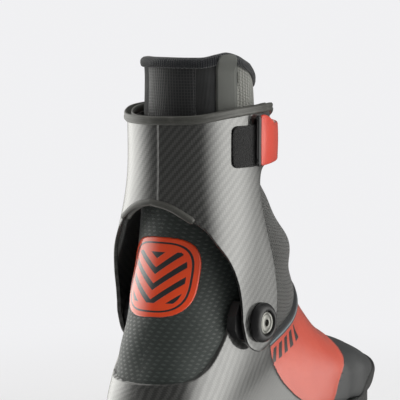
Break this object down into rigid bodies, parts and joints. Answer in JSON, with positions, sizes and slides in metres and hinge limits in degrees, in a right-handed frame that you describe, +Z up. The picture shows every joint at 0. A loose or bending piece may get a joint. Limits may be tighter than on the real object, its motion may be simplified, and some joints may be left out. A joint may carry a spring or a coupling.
{
  "type": "cross country boot",
  "caption": "Skating ski boot for the right foot: soft upper on a carbon sole frame, with a hinged carbon cuff closed by a strap and a toe bar under the sole.",
  "frame": {"origin": "on the ground under the middle of the boot's box", "axes": "+X to the toe, +Y to the inner side of the right foot, +Z up"},
  "size_m": [0.288, 0.113, 0.2667],
  "materials": {
    "tread": "matt black rubber",
    "carbon": "clear-coated twill carbon laminate",
    "black_plastic": "moulded black plastic",
    "steel": "turned steel",
    "board": "fibre board",
    "footbed": "foam with a cloth face",
    "black_fabric": "embossed black softshell",
    "grey_fabric": "grey mesh",
    "light_mesh": "light grey ribbed mesh",
    "red_cover": "glossy red coated fabric",
    "charcoal_fabric": "charcoal coated fabric",
    "binding": "dark navy knit",
    "badge": "glossy orange-red moulded film",
    "trim_rubber": "grey rubber",
    "foam": "black foam with a cloth face",
    "strap": "glossy red webbing",
    "hook_loop": "black hook and loop",
    "tape": "blue-grey tape",
    "lace": "black cord"
  },
  "bodies": {
    "boot": {"outsole_forefoot": "tread", "outsole_heel": "tread", "toe_bar_housing": "black_plastic", "toe_bar": "steel", "sole_frame": "carbon", "insole_board": "board", "footbed": "footbed", "heel_upper": "black_fabric", "instep_cover": "grey_fabric", "front_gaiter": "red_cover", "toe_upper": "charcoal_fabric", "tongue": "grey_fabric", "lace_stay_inner": "black_fabric", "lace_stay_outer": "black_fabric", "lace": "lace", "seam_tape": "tape", "zip_track": "black_plastic", "heel_badge": "badge", "toe_guard": "tread", "pivot_spacer_inner": "black_plastic", "pivot_spacer_outer": "black_plastic", "pivot_nut_inner": "steel", "pivot_nut_outer": "steel", "pivot_bushing_inner": "steel", "pivot_bushing_outer": "steel", "pivot_screw_inner": "steel", "pivot_screw_outer": "steel", "pivot_cap_inner": "black_plastic", "pivot_cap_outer": "black_plastic"},
    "cuff": {"cuff_shell": "carbon", "cuff_rim_trim": "trim_rubber", "heel_arch_trim": "trim_rubber", "cuff_pad": "foam", "strap_loop_patch": "hook_loop", "strap_anchor_plate": "black_plastic", "strap_rivet_upper": "steel", "strap_rivet_lower": "steel", "collar_rear": "black_fabric", "collar_side_inner": "black_fabric", "collar_side_outer": "black_fabric", "collar_flex_inner": "grey_fabric", "collar_flex_outer": "grey_fabric", "tongue_top": "light_mesh", "collar_binding": "binding", "tongue_binding": "binding"},
    "strap": {"cuff_strap": "strap", "strap_hook_pad": "hook_loop", "strap_pull_tab": "black_plastic"},
    "zip_slider": {"zip_slider": "steel"},
    "zip_pull": {"zip_pull": "steel"}
  },
  "joints": [
    {"name": "cuff_flex", "type": "hinge", "parent": "boot", "child": "cuff", "pos_m": [-0.067, 0, 0.092], "axis": [0, 1, 0], "range_deg": [-10, 6]},
    {"name": "strap_open", "type": "hinge", "parent": "cuff", "child": "strap", "pos_m": [-0.0301, 0.0391, 0.21], "axis": [0, 0, 1], "range_deg": [0, 110]},
    {"name": "zip_slide", "type": "slide", "parent": "boot", "child": "zip_slider", "axis": [0.6379, 0, -0.7701], "range_m": [0, 0.024]},
    {"name": "zip_pull_swing", "type": "hinge", "parent": "zip_slider", "child": "zip_pull", "pos_m": [0.04332, 0, 0.10174], "axis": [0, 1, 0], "range_deg": [-150, 0]}
  ]
}
